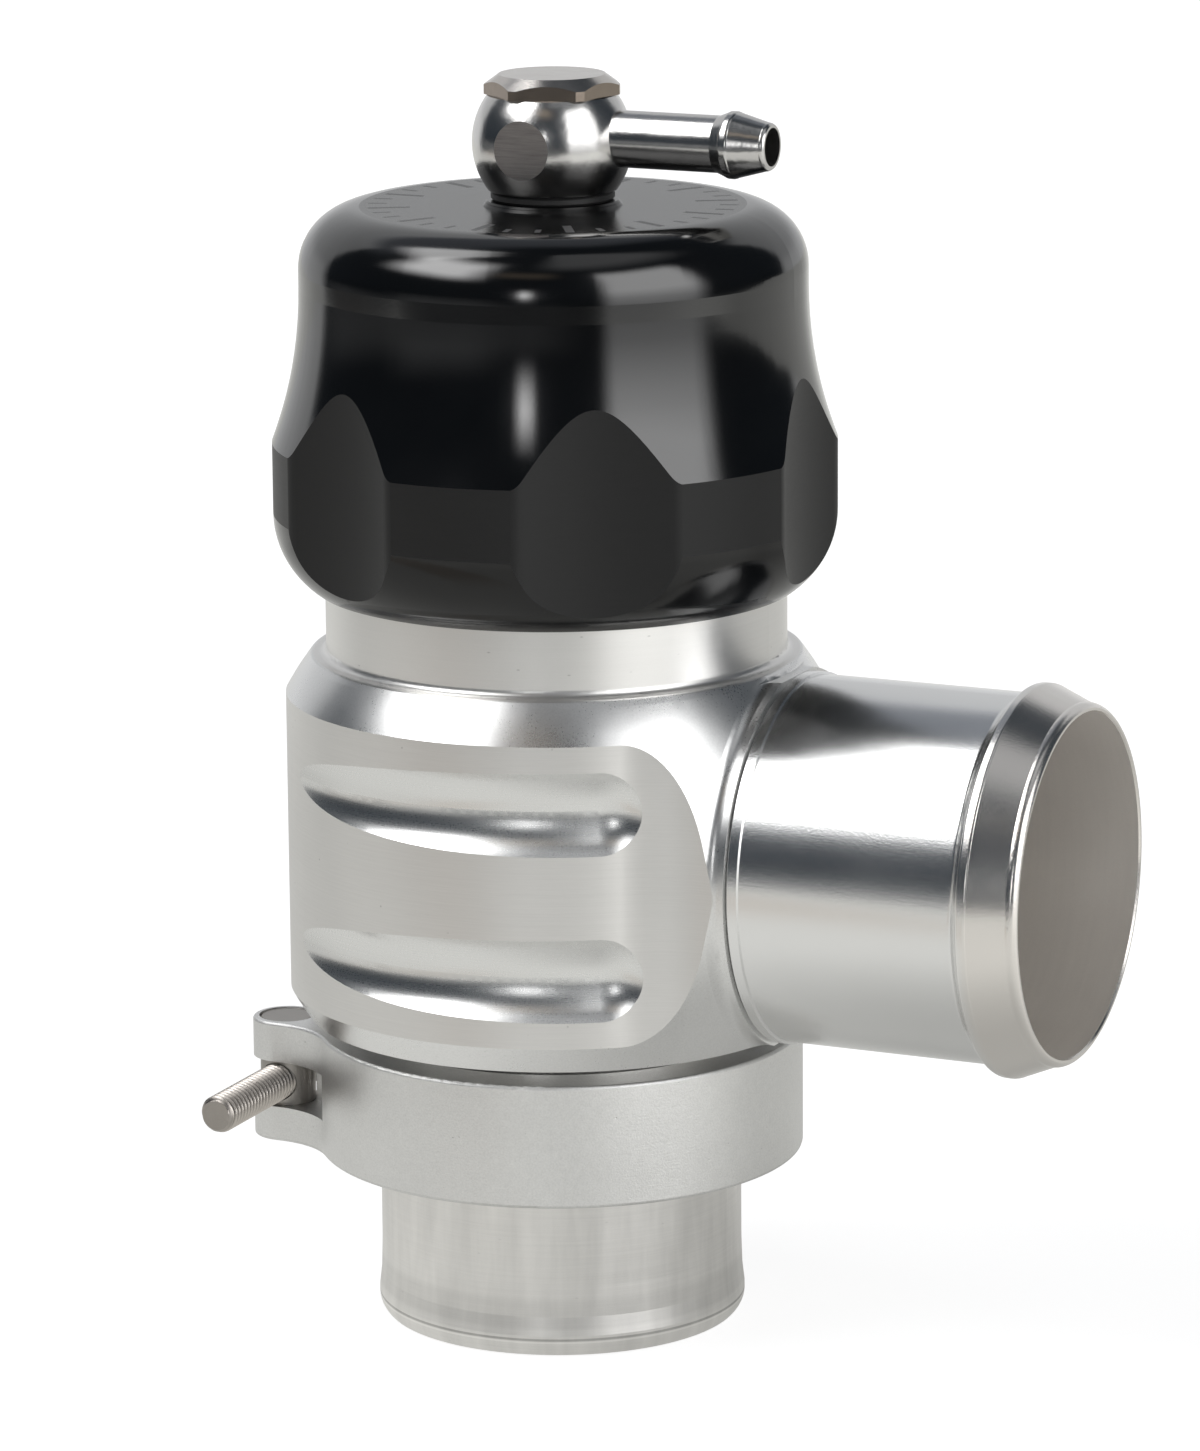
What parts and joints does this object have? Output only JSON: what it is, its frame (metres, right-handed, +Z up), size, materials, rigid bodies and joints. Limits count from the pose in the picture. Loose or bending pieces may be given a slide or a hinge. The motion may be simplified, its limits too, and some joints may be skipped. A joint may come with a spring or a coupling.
{
  "type": "blow off valve",
  "caption": "Piston blow off valve with a turned black adjusting cap, side outlet tube, clamped lower hose spigot and a banjo vacuum fitting on top.",
  "frame": {"origin": "centre of the lower hose spigot's end face, on the valve's axis", "axes": "+Z up along the valve's axis to the vacuum fitting, +X out of the side outlet, clamp lugs on the -X side, barrel nut on the -Y side"},
  "size_m": [0.0891, 0.0582, 0.1304],
  "materials": {
    "black_anodised": "gloss black anodised, satin in the scallops",
    "body_alloy": "satin tumbled, brushed on the upright wall",
    "tube_alloy": "polished, drawn",
    "adaptor_alloy": "as turned, satin",
    "clamp_alloy": "polished satin",
    "piston_alloy": "as turned",
    "nickel_plate": "bright nickel plate",
    "stainless": "plain stainless",
    "spring_steel": "bright drawn wire",
    "seal_rubber": "matt black",
    "washer_rubber": "satin black",
    "guide_plastic": "matt"
  },
  "bodies": {
    "base": {"base_adaptor": "adaptor_alloy", "base_o_ring": "seal_rubber", "clamp_ring": "clamp_alloy", "clamp_barrel_nut": "stainless", "clamp_trunnion": "stainless"},
    "screw_carrier": {"clamp_screw_washer": "stainless"},
    "screw": {"clamp_screw": "stainless"},
    "valve": {"valve_body": "body_alloy", "outlet_tube": "tube_alloy", "cap_o_ring": "seal_rubber"},
    "piston_group": {"piston": "piston_alloy", "piston_seal": "seal_rubber", "piston_guide_ring": "guide_plastic", "seat_seal": "seal_rubber"},
    "thrust": {"spring_seat": "piston_alloy", "main_spring": "spring_steel"},
    "cap_group": {"cap": "black_anodised", "banjo_bolt": "nickel_plate", "banjo_washer": "washer_rubber"},
    "banjo": {"banjo_fitting": "nickel_plate"}
  },
  "joints": [
    {"name": "body_swivel", "type": "hinge", "parent": "base", "child": "valve", "pos_m": [0, 0, 0.0242], "axis": [0, 0, 1], "continuous": true},
    {"name": "piston_lift", "type": "slide", "parent": "valve", "child": "piston_group", "axis": [0, 0, 1], "range_m": [0, 0.012], "stiffness_N_per_m": 1500, "springref_m": -0.02, "deforming": ["main_spring"]},
    {"name": "cap_travel", "type": "slide", "parent": "valve", "child": "thrust", "axis": [0, 0, 1], "range_m": [-0.00401, 0.00601], "deforming": ["main_spring"]},
    {"name": "cap_turn", "type": "hinge", "parent": "thrust", "child": "cap_group", "pos_m": [0, 0, 0.0905], "axis": [0, 0, 1], "range_deg": [-720, 1080]},
    {"name": "banjo_swivel", "type": "hinge", "parent": "cap_group", "child": "banjo", "pos_m": [0, 0, 0.12345], "axis": [0, 0, 1], "continuous": true},
    {"name": "screw_travel", "type": "slide", "parent": "base", "child": "screw_carrier", "axis": [0, 1, 0], "range_m": [0, 0.0112]},
    {"name": "screw_turn", "type": "hinge", "parent": "screw_carrier", "child": "screw", "pos_m": [-0.0275, 0, 0.024], "axis": [0, 1, 0], "range_deg": [0, 5765]}
  ],
  "couplings": [
    {"joint": "cap_travel", "follows": "cap_turn", "m_per_rad": 0.00031831},
    {"joint": "screw_turn", "follows": "screw_travel", "rad_per_m": 8976}
  ]
}
